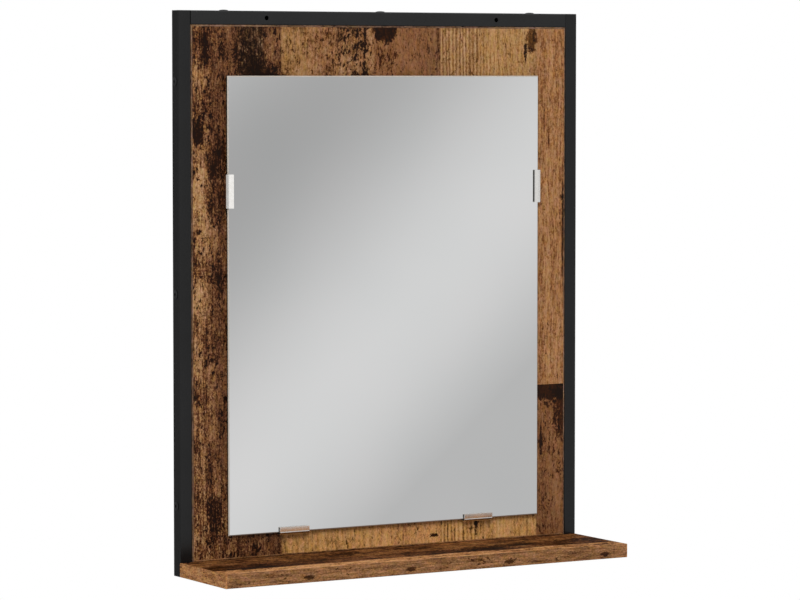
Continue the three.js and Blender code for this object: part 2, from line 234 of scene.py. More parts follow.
def cross_bits(crown, across):
    """What cuts a cross recess into a screw's crown, narrower the deeper it goes."""
    proud = 0.2
    wings = []
    for turn in (0, math.pi / 2):
        wing = block(across, across / 5, across / 2 + 2 * proud)
        low = [vert for vert in wing.verts if vert.co.z < 0]
        bmesh.ops.scale(wing, vec=(0.35, 0.6, 1), verts=low)
        bmesh.ops.translate(wing, vec=(0, 0, crown + proud - across / 4), verts=wing.verts)
        bmesh.ops.rotate(wing, cent=(0, 0, 0), matrix=Matrix.Rotation(turn, 3, "Z"),
                         verts=wing.verts)
        wings.append(wing)
    return wings


def screw_mesh(name, shank, length, head, rim, crown, pitch, bits):
    """A domed screw with its recess, pointing along its own -z axis with its head above z = 0.
    shank and head are radii, rim and crown are heights, and rings stand for the thread. Its outline
    goes from the cone point over the rings and a plain neck to the middle of the dome."""
    neck = 1.2
    root = 0.72 * shank
    tip_top = 2 * shank - length
    outline = [(0, -length), (0.35 * root, 0.7 * shank - length), (root, tip_top)]
    rings = int((length - 2 * shank - 1.5) / pitch)
    for turn in range(rings):
        low = tip_top + turn * pitch
        outline += [(root, low + 0.25 * pitch), (shank, low + 0.6 * pitch), (root, low + pitch)]
    outline += [(shank, -neck), (shank, 0), (head - 0.2, 0), (head, 0.15), (head, rim)]
    dome = crown - rim
    dome_radius = (head * head + dome * dome) / (2 * dome)
    dome_steps = 8
    for step in range(1, dome_steps + 1):
        reach = head * (1 - step / dome_steps)
        outline.append((reach, crown - dome_radius + math.sqrt(dome_radius ** 2 - reach ** 2)))
    shape = bmesh.new()
    line = [shape.verts.new((reach, 0, height)) for reach, height in outline]
    for start, end in zip(line, line[1:]):
        shape.edges.new((start, end))
    bmesh.ops.spin(shape, geom=shape.verts[:] + shape.edges[:], cent=(0, 0, 0), axis=Z,
                   angle=math.tau, steps=ROUND_STEPS, use_merge=True)
    return drilled(mesh_of(shape, name), bits)


def clip_shape():
    """A strip bent to a J round the glass's edge. Its own x axis points into the glass, y forward
    from the board, and z along the strip. The tab's free end lifts a little off the glass."""
    length = 36
    leg = 16
    depth = 8.4
    tab = 8
    tab_turn = 2.6
    lift = (tab - tab_turn) * math.tan(math.radians(5))
    half = CLIP_SHEET / 2
    bend = 2 - half
    path = [(leg, half), (half, half), (half, depth - half), (tab_turn, depth - half),
            (tab, depth - half + lift)]
    shape = bmesh.new()
    line = [shape.verts.new((x, y, -length / 2)) for x, y in path]
    edges = [shape.edges.new(pair) for pair in zip(line, line[1:])]
    grown = bmesh.ops.extrude_edge_only(shape, edges=edges)["geom"]
    far = [part for part in grown if isinstance(part, bmesh.types.BMVert)]
    bmesh.ops.translate(shape, vec=(0, 0, length), verts=far)
    for corner, radius, steps in ((half, bend, 8), (tab_turn, 0.6, 4)):
        folds = [edge for edge in edges_along(shape, Z)
                 if len(edge.link_faces) == 2 and abs(edge.verts[0].co.x - corner) < 0.01]
        round_off(shape, folds, radius, steps)
    bmesh.ops.recalc_face_normals(shape, faces=shape.faces)
    bmesh.ops.solidify(shape, geom=shape.faces[:], thickness=CLIP_SHEET)
    return shape


# Materials

# A noise node's values lie mostly between these two.
NOISE_LOW = 0.3
NOISE_HIGH = 0.7


def linear(code):
    """An sRGB hex colour as linear red, green, blue and alpha."""
    parts = [int(code[i:i + 2], 16) / 255 for i in (1, 3, 5)]
    return (*[p / 12.92 if p <= 0.04045 else ((p + 0.055) / 1.055) ** 2.4 for p in parts], 1)


def tone(value):
    """What a colour socket takes, from a hex colour or from a plain number as a grey."""
    return linear(value) if isinstance(value, str) else (value, value, value, 1)


def add(tree, kind, links=None, stops=None, **settings):
    """Adds a node with its settings. A link's value is a number, a colour or another socket, and
    stops are a ramp's positions, left to right, each with a hex colour or a number."""
    made = tree.nodes.new(kind)
    for name, value in settings.items():
        setattr(made, name, value)
    for key, value in (links or {}).items():
        if isinstance(value, bpy.types.NodeSocket):
            tree.links.new(value, made.inputs[key])
        else:
            made.inputs[key].default_value = value
    if stops:
        ramp = made.color_ramp.elements
        while len(ramp) < len(stops):
            ramp.new(1)
        for element, (position, value) in zip(ramp, stops):
            element.position = position
            element.color = tone(value)
    return made


def new_material(name, constants=None):
    """A material with constants on its shader's own sockets, and its places in millimetres."""
    material = bpy.data.materials.new(name)
    material.use_nodes = True
    tree = material.node_tree
    shader = tree.nodes["Principled BSDF"]
    for socket, value in (constants or {}).items():
        shader.inputs[socket].default_value = value
    spot = add(tree, "ShaderNodeTexCoord").outputs["Object"]
    spot = add(tree, "ShaderNodeVectorMath", {0: spot, "Scale": 1 / MM}, operation="SCALE")
    return material, tree, shader, spot.outputs[0]


def mottle(tree, spot, size, detail=3.0, seed=0.0, roughness=0.55):
    """Uneven patches or fibres. size is their width along x, y and z in millimetres."""
    scaled = add(tree, "ShaderNodeVectorMath", {0: spot, 1: [1 / s for s in size]},
                 operation="MULTIPLY")
    shifted = add(tree, "ShaderNodeVectorMath", {0: scaled.outputs[0], 1: (seed, seed, seed)})
    return add(tree, "ShaderNodeTexNoise", {
        "Vector": shifted.outputs[0], "Scale": 1.0, "Detail": detail, "Roughness": roughness,
    }).outputs[0]


def stain(tree, under, over, pattern, low=NOISE_LOW, high=NOISE_HIGH):
    """A tone that comes up over the one below as the pattern passes from low to high."""
    amount = add(tree, "ShaderNodeMapRange", {"Value": pattern, 1: low, 2: high})
    return add(tree, "ShaderNodeMix", {0: amount.outputs[0], 6: under, 7: over},
               data_type="RGBA", clamp_factor=True).outputs[2]


def skin(tree, shader, colour, pattern, smooth, rough, relief=0.0):
    """The shader's colour, its roughness, which follows a pattern from smooth to rough, and relief
    of so many millimetres where there is any."""
    tree.links.new(colour, shader.inputs["Base Color"])
    amount = add(tree, "ShaderNodeMapRange", {
        "Value": pattern, 1: NOISE_LOW, 2: NOISE_HIGH, 3: smooth, 4: rough,
    })
    tree.links.new(amount.outputs[0], shader.inputs["Roughness"])
    if relief:
        bump = add(tree, "ShaderNodeBump", {"Strength": 1.0, "Distance": relief * MM,
                                            "Height": pattern})
        tree.links.new(bump.outputs[0], shader.inputs["Normal"])


def two_tone(name, constants, size, detail, tones, smooth, rough, relief=0.0):
    """A material of two tones in one fine pattern, which its roughness and relief follow too."""
    material, tree, shader, spot = new_material(name, constants)
    pattern = mottle(tree, spot, size, detail)
    colour = stain(tree, linear(tones[0]), linear(tones[1]), pattern)
    skin(tree, shader, colour, pattern, smooth, rough, relief)
    return material


# Powder coat on mild steel tube, sprayed dry and baked: a nearly black, half-glossy skin with a very
# fine orange peel, which mirrors the shelf softly just above it. The rails and the uprights take two
# copies of it. The uprights' copy has a little less shine, so the uprights render a little darker
# than the rails.
def powder_coat(name, shine):
    material, tree, shader, spot = new_material(name, {"Specular IOR Level": shine})
    peel = mottle(tree, spot, (1.6, 1.6, 1.6), 2.0)
    cloud = mottle(tree, spot, (45, 45, 45), 2.0, 3.0)
    colour = stain(tree, linear("#090909"), linear("#0e0e0f"), cloud)
    skin(tree, shader, colour, peel, 0.17, 0.23, 0.006)
    return material


rail_coat = powder_coat("powder_coated_steel_rail", 0.43)
upright_coat = powder_coat("powder_coated_steel_upright", 0.34)

# Polypropylene end caps, moulded with a fine grain: matt black, a little greyer than the coat.
cap_plastic = two_tone("moulded_polypropylene", {}, (0.5, 0.5, 0.5), 2.0,
                       ("#0c0c0c", "#131313"), 0.42, 0.55, 0.02)

# Black zinc on steel screws: as dark as the coat but glossier, and a little worn in spots.
black_screw, tree, shader, spot = new_material("black_zinc_plated_steel",
                                               {"Specular IOR Level": 0.8})
wear = mottle(tree, spot, (1.2, 1.2, 1.2), 4.0)
colour = stain(tree, linear("#060607"), linear("#19191a"), wear, 0.55, 0.75)
skin(tree, shader, colour, wear, 0.14, 0.24)

# Bright zinc on the hidden screws: pale blue-grey metal with cloudy gloss.
zinc_screw = two_tone("bright_zinc_plated_steel", {"Metallic": 1.0}, (2, 2, 2), 3.0,
                      ("#a9adb1", "#c6cacd"), 0.22, 0.36)

# Nickel-plated steel clips, polished after bending: near-white metal that mirrors what is in front.
nickel = two_tone("polished_nickel_plated_steel", {"Metallic": 1.0}, (3, 3, 3), 3.0,
                  ("#e6e3de", "#f1efec"), 0.1, 0.15)

# Silver behind float glass: a clear, very faintly green-grey reflection.
silvering, tree, shader, spot = new_material("silvered_float_glass",
                                             {"Metallic": 1.0, "Roughness": 0.0})
haze = mottle(tree, spot, (120, 120, 120), 1.0)
colour = stain(tree, linear("#f5f6f6"), linear("#f8f8f8"), haze)
tree.links.new(colour, shader.inputs["Base Color"])

# The glass's arris, ground with a fine belt: a thin warm grey line with a dull gleam.
arris = two_tone("ground_glass_arris", {"Metallic": 0.2}, (0.6, 0.6, 0.6), 3.0,
                 ("#b6ada2", "#c6beb3"), 0.35, 0.45)

# The glass's cut edge: deep grey-green, because the light has crossed the whole sheet. It is darker
# still with painted shade, for the shadow in the gap between the glass and the board.
glass_edge = two_tone("cut_glass_edge_painted_shade", {"IOR": 1.52}, (4, 4, 1.5), 3.0,
                      ("#1d2723", "#37453f"), 0.16, 0.24)

# The mirror's backing paint, curtain-coated over the silver: an even grey in long, faint runs.
backing = two_tone("mirror_backing_paint", {}, (8, 8, 60), 3.0,
                   ("#6c6f70", "#7a7d7d"), 0.55, 0.65)

# Polyethylene foam tape, cut with a knife: white, matt and full of open cells 0.7 mm wide.
foam, tree, shader, spot = new_material("polyethylene_foam")
cells = add(tree, "ShaderNodeTexVoronoi", {"Vector": spot, "Scale": 1.4}).outputs[0]
colour = stain(tree, linear("#c9c6bd"), linear("#efede6"), cells, 0.1, 0.7)
skin(tree, shader, colour, cells, 0.9, 0.98, 0.15)


# Melamine-faced board printed like reclaimed planks: a satin foil over an embossed grain. Each
# wood of the print has a deep, a middle and a pale tone, a share of straight fibres, how thickly
# dark flecks lie in it, and how strong its figure is.
WEATHERED = ("#1b0801", "#643b22", "#a97f53", 0.6, 0.5, 1.8)
UMBER = ("#1e0a02", "#5e3a23", "#815939", 0.5, 0.6, 1.4)
COAL = ("#110500", "#321d0e", "#5c422e", 0.7, 0.4, 1.8)
TAN = ("#4c2b10", "#90683f", "#a98056", 0.4, 0.45, 1.25)
ROSE = ("#4b2910", "#8a5f3d", "#a67c56", 0.35, 0.45, 1.3)
BARK = ("#1f0e04", "#7e5535", "#9d754f", 0.3, 1.0, 1.3)
CHESTNUT = ("#3d1e0a", "#7e5333", "#916745", 0.5, 0.5, 1.1)
RUSSET = ("#53321b", "#825738", "#936745", 0.4, 0.3, 1.0)
CLARET = ("#3d210f", "#785134", "#8b6341", 0.7, 0.4, 1.0)
RINGED = ("#5e3a1b", "#8f6741", "#b18a60", 0.6, 0.3, 1.0)
GOLD = ("#734b25", "#a67c4e", "#bd9363", 0.8, 0.1, 1.0)
HONEY = ("#6c3f20", "#9a6c45", "#af8258", 0.75, 0.15, 1.4)
# The next two woods stand only at the planks' feet, and their tones are lightened with painted
# light.
PALE_LIT = ("#5e4120", "#bb8951", "#d6a66e", 0.6, 0.3, 0.9)
AMBER_LIT = ("#5a3518", "#c38d57", "#dca86e", 0.5, 0.3, 0.9)

# Where each wood stands across the panel, at the planks' heads and at their feet. The print is a
# little wider than the board, and between two heights the heads' woods turn into the feet's. The
# feet's woods are lighter than the heads'. This is partly the print and partly painted light, which
# lifts the shade that the mirror and the shelf cast on the strip of board between them.
PRINT_LEFT = -240.0
PRINT_RIGHT = 240.0
FEET_FROM = -470.0
FEET_FULL = -530.0
PLANK_HEADS = [
    (-235, WEATHERED), (-200, UMBER), (-182, UMBER), (-174, COAL), (-151, COAL), (-143, UMBER),
    (-126.6, UMBER), (-126, TAN), (-104, TAN), (-86, ROSE), (-66, ROSE), (-50, BARK), (-20, BARK),
    (-12.6, ROSE), (-11.6, CHESTNUT), (14, CHESTNUT), (24, RUSSET), (53, RUSSET), (59, CLARET),
    (71.6, CLARET), (72.4, RINGED), (112, RINGED), (128, GOLD), (180, GOLD), (197.8, RINGED),
    (198.6, HONEY), (235, HONEY),
]
PLANK_FEET = [
    (-235, WEATHERED), (-126.6, UMBER), (-126, PALE_LIT), (-12, PALE_LIT), (-11.2, AMBER_LIT), (71.6, AMBER_LIT),
    (72.4, PALE_LIT), (197.8, PALE_LIT), (198.6, CHESTNUT), (235, CHESTNUT),
]
PLANK_JOINTS = (-126.3, -11.6, 72, 198.2)
LOW_JOINT = -406.7
PLANK_SWAY = 14.0
NEXT_PLANK = (0, 310.0, 170.0)
REAR_CUT = (0, 0, 230.0)
RING_SPACING = 4.4
BLACKEST = "#180c06"
BRIGHTEST = "#bd976f"

# A mark's centre, its half size, how soft its edge is, and how far it deepens or lifts the wood.
MARKS = [
    ((-226, -122), (8, 15), 0.6, -0.9),
    ((-227, -94), (9, 16), 0.9, -0.4),
    ((-205, -150), (13, 22), 0.9, -0.4),
    ((-226, -184), (8, 24), 0.9, 0.4),
    ((-216, -232), (12, 26), 0.9, 0.4),
    ((-204, -196), (11, 36), 0.9, -0.4),
    ((-202, -268), (12, 18), 0.9, -0.35),
    ((-226, -298), (8, 20), 0.9, 0.5),
    ((-229, -360), (6, 18), 0.9, 0.5),
    ((-203, -320), (9, 60), 0.9, -0.25),
    ((-221, -400), (12, 90), 0.9, 0.15),
    ((-222, -24), (13, 22), 0.9, -0.35),
    ((-228, -56), (5, 12), 0.9, 0.2),
    ((-218, -32), (4, 14), 0.8, -0.7),
    ((-163, -56), (17, 30), 0.9, -0.6),
    ((-138, -68), (17, 14), 0.7, -1.2),
    ((-137, -26), (9, 22), 0.35, 0.3),
    ((-209, -528), (10, 20), 0.7, -0.5),
    ((-42, -24), (18, 20), 0.9, -0.2),
    ((2, -10), (15, 15), 0.3, -1.35),
    ((69, -20), (2, 30), 0.9, -0.4),
    ((190, -22), (6.5, 13), 0.6, -1.1),
    ((182, -34), (2.2, 11), 0.7, -1.7),
    ((188, -33), (2.5, 3), 0.9, -0.9),
    ((64, -567.5), (5, 2), 0.6, -1.5),
    ((118.5, -556), (2.4, 8), 0.7, -1.6),
    ((232, -235), (1.6, 62), 0.9, -1.3),
    ((231, -197), (2.2, 3.2), 0.9, -1.2),
    ((213, -130), (1.2, 14), 0.9, -0.8),
    ((207, -108), (1.0, 12), 0.9, -0.9),
]
LOW_MARKS = [
    ((217, -409), (40, 17), 0.6, -1.15),
    ((230, -436), (8, 30), 0.9, -0.8),
    ((203.5, -470), (2.4, 14), 0.8, -1.1),
]


def figure_of(tree, spot, fine, straight, flecked, strength):
    """The wood's grain, and its wear: about 0 where deep, 0.5 in the middle and 1 where pale. Its
    fibres run along z. fine is the size of its smallest specks in millimetres, drawn as coarse as
    they need to show, and the rest is in step with them."""
    x, y, z = fine
    mottled = mottle(tree, spot, (11 * x, 11 * y, 11 * z), 4.0, 0.0, 0.85)
    fibres = mottle(tree, spot, (1.1 * x, 4 * y, 8 * z), 3.0, 5.0, 0.75)
    grain = add(tree, "ShaderNodeMix", {0: straight, 2: mottled, 3: fibres}).outputs[0]
    wear = add(tree, "ShaderNodeMapRange", {
        "Value": grain, 1: NOISE_LOW, 2: NOISE_HIGH, 3: -0.5, 4: 0.5,
    }, clamp=False).outputs[0]

    specks = (fine, 9.0, 0.8, 1.6)
    streaks = ((5 * x, 4 * y, 90 * z), 18.0, 0.5, 0.7)
    for size, seed, roughness, share in (specks, streaks):
        swing = mottle(tree, spot, size, 2.0, seed, roughness)
        swing = add(tree, "ShaderNodeMath", {0: swing, 1: -0.5}).outputs[0]
        wear = add(tree, "ShaderNodeMath", {0: swing, 1: share, 2: wear},
                   operation="MULTIPLY_ADD").outputs[0]

    # Dark flecks gather where a broad cloud is thick, and pale ones where it is thin.
    cloud = mottle(tree, spot, (9 * x, 9 * y, 9 * z), 3.0, 12.0, 0.6)
    dark_flecks = (1.7, 14.0, 0.15, -0.7)
    pale_flecks = (1.0, 21.0, 0.07, 0.45)
    for size, seed, most, push in (dark_flecks, pale_flecks):
        gather = math.copysign(0.5, -push)
        edge = 0.68 + 0.5 * gather
        flecks = mottle(tree, spot, (size * x, size * y, 1.5 * size * z), 3.0, seed, 0.75)
        flecks = add(tree, "ShaderNodeMath", {0: cloud, 1: gather, 2: flecks},
                     operation="MULTIPLY_ADD").outputs[0]
        flecks = add(tree, "ShaderNodeMath", {0: flecked, 1: most, 2: flecks},
                     operation="MULTIPLY_ADD").outputs[0]
        shown = add(tree, "ShaderNodeMapRange", {
            "Value": flecks, 1: edge - 0.02, 2: edge + 0.03, 4: push,
        }).outputs[0]
        wear = add(tree, "ShaderNodeMath", {0: wear, 1: shown}).outputs[0]
    wear = add(tree, "ShaderNodeMath", {0: wear, 1: strength, 2: 0.5}, operation="MULTIPLY_ADD")
    return grain, wear.outputs[0]


def mark(tree, spot, wear, centre, half, edge, depth):
    """The wear lowered or raised in an oval across x and z. The softer its edge, the more ragged
    it is: a noise pushes the rim about, and the mark fades out round the noise's middle value."""
    push_out = 5 * edge
    fade = 0.3 * edge
    rim_at = 1 + push_out / 2
    near = add(tree, "ShaderNodeVectorMath", {
        0: spot, 1: (1 / half[0], 0, 1 / half[1]),
        2: (-centre[0] / half[0], 0, -centre[1] / half[1]),
    }, operation="MULTIPLY_ADD")
    far = add(tree, "ShaderNodeVectorMath", {0: near.outputs[0]}, operation="LENGTH")
    rag = mottle(tree, spot, (min(0.4 * half[0], 5), 60, min(0.4 * half[1], 6)), 4.0, 2.0, 0.75)
    rim = add(tree, "ShaderNodeMath", {0: rag, 1: push_out, 2: far.outputs["Value"]},
              operation="MULTIPLY_ADD").outputs[0]
    push = add(tree, "ShaderNodeMapRange", {
        "Value": rim, 1: rim_at - fade, 2: rim_at + fade, 3: depth, 4: 0.0,
    }, interpolation_type="SMOOTHSTEP")
    return add(tree, "ShaderNodeMath", {0: wear, 1: push.outputs[0]}).outputs[0]


def plank_colour(tree, spot, wear, deep, middle, pale):
    """From the blackest dirt in the grain, through the wood's own tones, to rubbed high spots. Small
    patches are a little redder or yellower than the rest, as in old wood."""
    colour = stain(tree, linear(BLACKEST), deep, wear, -1.0, 0.0)
    colour = stain(tree, colour, middle, wear, 0.0, 0.5)
    colour = stain(tree, colour, pale, wear, 0.5, 1.0)
    colour = stain(tree, colour, linear(BRIGHTEST), wear, 1.1, 1.9)
    red = (0, 31.0, 0.87, 1.13)
    blue = (2, 41.0, 0.66, 1.34)
    share = {1: 1.0}
    for channel, seed, least, most in (red, blue):
        patches = mottle(tree, spot, (5, 5, 11), 4.0, seed, 0.7)
        share[channel] = add(tree, "ShaderNodeMapRange", {
            "Value": patches, 1: NOISE_LOW, 2: NOISE_HIGH, 3: least, 4: most,
        }).outputs[0]
    tint = add(tree, "ShaderNodeCombineXYZ", share).outputs[0]
    return add(tree, "ShaderNodeVectorMath", {0: colour, 1: tint}, operation="MULTIPLY").outputs[0]


def stops_across(planks, trait, start, end):
    """One trait of each wood, at its place between the two sides of a board."""
    return [((at - start) / (end - start), wood[trait]) for at, wood in planks]


def panel_print():
    """The panel's board, printed with upright planks."""
    material, tree, shader, spot = new_material("melamine_board_old_plank_print",
                                                {"Specular IOR Level": 0.08})
    # The rear foil is cut from further along the print.
    depth = add(tree, "ShaderNodeSeparateXYZ", {0: spot}).outputs[1]
    rear = add(tree, "ShaderNodeMath", {0: depth, 1: MID_DEPTH},
               operation="GREATER_THAN").outputs[0]
    further = add(tree, "ShaderNodeVectorMath", {0: REAR_CUT, "Scale": rear},
                  operation="SCALE").outputs[0]
    spot = add(tree, "ShaderNodeVectorMath", {0: spot, 1: further}).outputs[0]

    # The fibres sway a little, and each plank takes its figure from another part of the wood.
    sway = mottle(tree, spot, (70, 70, 160), 2.0, 1.0)
    sway = add(tree, "ShaderNodeMath", {0: sway, 1: -0.5}).outputs[0]
    swing = add(tree, "ShaderNodeVectorMath", {0: PLANK_SWAY * X, "Scale": sway},
                operation="SCALE").outputs[0]
    swayed = add(tree, "ShaderNodeVectorMath", {0: spot, 1: swing}).outputs[0]
    axes = add(tree, "ShaderNodeSeparateXYZ", {0: spot}).outputs
    plank = 0.0
    for joint in PLANK_JOINTS:
        passed = add(tree, "ShaderNodeMath", {0: axes[0], 1: joint}, operation="GREATER_THAN")
        plank = add(tree, "ShaderNodeMath", {0: passed.outputs[0], 1: plank}).outputs[0]
    apart = add(tree, "ShaderNodeVectorMath", {0: NEXT_PLANK, "Scale": plank},
                operation="SCALE").outputs[0]
    figure = add(tree, "ShaderNodeVectorMath", {0: swayed, 1: apart}).outputs[0]

    # The shorter plank low on the right meets the one above in a square joint.
    low = add(tree, "ShaderNodeMath", {0: axes[2], 1: LOW_JOINT}, operation="LESS_THAN").outputs[0]
    right = add(tree, "ShaderNodeMath", {0: axes[0], 1: PLANK_JOINTS[-1]},
                operation="GREATER_THAN").outputs[0]
    lower = add(tree, "ShaderNodeMath", {0: low, 1: right}, operation="MULTIPLY").outputs[0]

    across = add(tree, "ShaderNodeMapRange", {"Value": axes[0], 1: PRINT_LEFT, 2: PRINT_RIGHT})
    down = add(tree, "ShaderNodeMapRange", {"Value": axes[2], 1: FEET_FROM, 2: FEET_FULL})
    traits = []
    for trait in range(len(WEATHERED)):
        heads, feet = [add(tree, "ShaderNodeValToRGB", {0: across.outputs[0]},
                           stops_across(planks, trait, PRINT_LEFT, PRINT_RIGHT)).outputs[0]
                       for planks in (PLANK_HEADS, PLANK_FEET)]
        upright = stain(tree, heads, feet, down.outputs[0], 0.0, 1.0)
        traits.append(stain(tree, upright, tone(CHESTNUT[trait]), lower, 0.0, 1.0))
    grain, wear = figure_of(tree, figure, (1.9, 16, 2.7), *traits[3:])

    # Rings of hard and soft wood, strong in the ringed plank and weak in the golden one.
    squeezed = add(tree, "ShaderNodeVectorMath", {0: swayed, 1: (1, 1, 0.12)},
                   operation="MULTIPLY").outputs[0]
    rings = add(tree, "ShaderNodeTexWave", {
        "Vector": squeezed, "Scale": math.tau / (20 * RING_SPACING), "Distortion": 3.2,
        "Detail": 3.0, "Detail Scale": 1.6,
    }, wave_type="BANDS", bands_direction="X").outputs[1]
    rings = add(tree, "ShaderNodeMath", {0: rings, 1: -0.5}).outputs[0]
    ringed = add(tree, "ShaderNodeValToRGB", {0: across.outputs[0]}, [
        (0.649, 0.0), (0.652, 0.6), (0.73, 0.6), (0.78, 0.12), (0.91, 0.12), (0.913, 0.1),
    ]).outputs[0]
    wear = add(tree, "ShaderNodeMath", {0: rings, 1: ringed, 2: wear},
               operation="MULTIPLY_ADD").outputs[0]

    for centre, half, edge, push in MARKS:
        wear = mark(tree, spot, wear, centre, half, edge, push)
    for centre, half, edge, push in LOW_MARKS:
        push = add(tree, "ShaderNodeMath", {0: lower, 1: push}, operation="MULTIPLY").outputs[0]
        wear = mark(tree, spot, wear, centre, half, edge, push)
    colour = plank_colour(tree, figure, wear, *traits[:3])
    skin(tree, shader, colour, grain, 0.4, 0.56, 0.05)
    return material


# The shelf's board has the same print with its planks running along the shelf: a pale one in
# front, a nearly black one behind it and a brown one at the wall.
SHELF_DEPTH = 120
FRONT_PLANK = ("#7a4c27", "#bd8350", "#e0a873")
DARK_PLANK = ("#140600", "#44240f", "#80502d")
WALL_PLANK = ("#2a1206", "#764a2a", "#a5703f")
SHELF_PLANKS = [(-110, FRONT_PLANK), (-96, FRONT_PLANK), (-93, DARK_PLANK), (-60, DARK_PLANK),
                (-48, WALL_PLANK), (0, WALL_PLANK)]
SHELF_MARKS = [
    ((88, -78), (36, 12), 0.9, -0.6),
    ((145, -62), (22, 9), 0.9, -0.4),
    ((-60, -40), (40, 9), 0.9, -0.3),
    ((-190, -84), (26, 8), 0.9, -0.4),
]
ALONG_X = (0, math.pi / 2, 0)  # turns a figure whose fibres run along z, so that they run along x


def shelf_print():
    material, tree, shader, spot = new_material("melamine_board_old_plank_print_along",
                                                {"Specular IOR Level": 0.01})
    axes = add(tree, "ShaderNodeSeparateXYZ", {0: spot}).outputs
    sway = 22.0
    bends = mottle(tree, spot, (150, 60, 60), 2.0, 5.0)
    depth = add(tree, "ShaderNodeMath", {0: bends, 1: sway, 2: axes[1]},
                operation="MULTIPLY_ADD").outputs[0]
    back = add(tree, "ShaderNodeMapRange", {"Value": depth, 1: sway / 2 - SHELF_DEPTH,
                                            2: sway / 2}).outputs[0]
    tones = [add(tree, "ShaderNodeValToRGB", {0: back},
                 stops_across(SHELF_PLANKS, trait, -SHELF_DEPTH, 0)).outputs[0]
             for trait in range(len(FRONT_PLANK))]
    along = add(tree, "ShaderNodeMapping", {0: spot, "Rotation": ALONG_X}).outputs[0]
    grain, wear = figure_of(tree, along, (2.7, 2.7, 3.6), 0.3, 0.45, 1.6)
    flat = add(tree, "ShaderNodeCombineXYZ", {0: axes[0], 2: axes[1]}).outputs[0]
    for centre, half, edge, push in SHELF_MARKS:
        wear = mark(tree, flat, wear, centre, half, edge, push)
    colour = plank_colour(tree, along, wear, *tones)
    skin(tree, shader, colour, grain, 0.45, 0.6, 0.05)
    return material


# Edge band, a printed plastic strip: a narrow satin line streaked along its length, with small knots
# that repeat every 124 mm. The shelf's is lighter than the boards and the panel's greyer. The
# shelf's side bands take a lighter copy of its tones as painted light, for the stronger light on the
# shelf's left side. The right side band has the same copy.
BAND_REPEAT = 124.0
BAND_MARKS = [
    ((62, -587), (6, 2.2), 0.7, -0.9),
    ((20, -583), (12, 1.6), 0.9, -0.35),
    ((96, -589), (9, 1.2), 0.9, -0.3),
]


def band_material(name, turn, knot, deep, middle, pale):
    """turn brings the band's length to x, and knot is the place of one of its knots on x."""
    material, tree, shader, spot = new_material(name, {"Specular IOR Level": 0.05})
    turned = add(tree, "ShaderNodeMapping", {0: spot, "Rotation": turn}).outputs[0]
    along = add(tree, "ShaderNodeMapping", {0: turned, "Rotation": ALONG_X}).outputs[0]
    grain, wear = figure_of(tree, along, (1.6, 1.6, 2.6), 0.7, 0.15, 1.1)
    axes = add(tree, "ShaderNodeSeparateXYZ", {0: turned}).outputs
    reach = add(tree, "ShaderNodeMath", {0: axes[0], 1: BAND_REPEAT / 2 - knot}).outputs[0]
    within = add(tree, "ShaderNodeMath", {0: reach, 1: BAND_REPEAT},
                 operation="FLOORED_MODULO").outputs[0]
    repeat = add(tree, "ShaderNodeCombineXYZ", {0: within, 2: axes[2]}).outputs[0]
    for centre, half, edge, push in BAND_MARKS:
        wear = mark(tree, repeat, wear, centre, half, edge, push)
    colour = plank_colour(tree, along, wear, linear(deep), linear(middle), linear(pale))
    skin(tree, shader, colour, grain, 0.38, 0.55, 0.04)
    return material


plank_board = panel_print()
shelf_board = shelf_print()
SHELF_BAND = ("#4a2c17", "#835c3b", "#ac7b53")
# The side bands' tones are the front band's, made lighter as painted light.
SHELF_SIDE_BAND_LIT = ("#57311a", "#aa7445", "#cd9a65")
PANEL_BAND = ("#38281e", "#6b503d", "#886b56")
band_x = band_material("printed_edge_band_along_x", (0, 0, 0), -27.2, *SHELF_BAND)
band_y_lit = band_material("printed_edge_band_along_y_lit", (0, 0, math.pi / 2), 5.0, *SHELF_SIDE_BAND_LIT)
panel_band_x = band_material("printed_panel_band_along_x", (0, 0, 0), -27.2, *PANEL_BAND)
panel_band_z = band_material("printed_panel_band_along_z", (0, math.pi / 2, 0), -27.2, *PANEL_BAND)


# Pieces

def uprights():
    length = FRAME_TOP - FRAME_BOTTOM - 2 * (CAP_LIP + TOUCH)
    for side, sign in SIDES:
        x = sign * (FRAME_EDGE - TUBE / 2)
        bar = square_tube(length)
        middle = (x, MID_DEPTH, (FRAME_TOP + FRAME_BOTTOM) / 2)
        bmesh.ops.transform(bar, matrix=aim(middle, Z), verts=bar.verts)
        outside = sign * (FRAME_EDGE + 10)
        holes = [round_bit(SCREW_HOLE, (outside, MID_DEPTH, z), -sign * X, 2 * TUBE)
                 for z in SIDE_SCREW_Z]
        mesh = drilled(mesh_of(bar, f"{side}_upright_tube"), holes)
        add_piece(f"{side}_upright_tube", mesh, [upright_coat], f"{side}_upright")
        for end, z, inward in (("bottom", FRAME_BOTTOM, Z), ("top", FRAME_TOP, -Z)):
            cap = end_cap()
            bmesh.ops.transform(cap, matrix=aim((x, MID_DEPTH, z), inward), verts=cap.verts)
            name = f"{side}_{end}_cap"
            add_piece(f"{name}_moulding", mesh_of(cap, name), [cap_plastic], name)


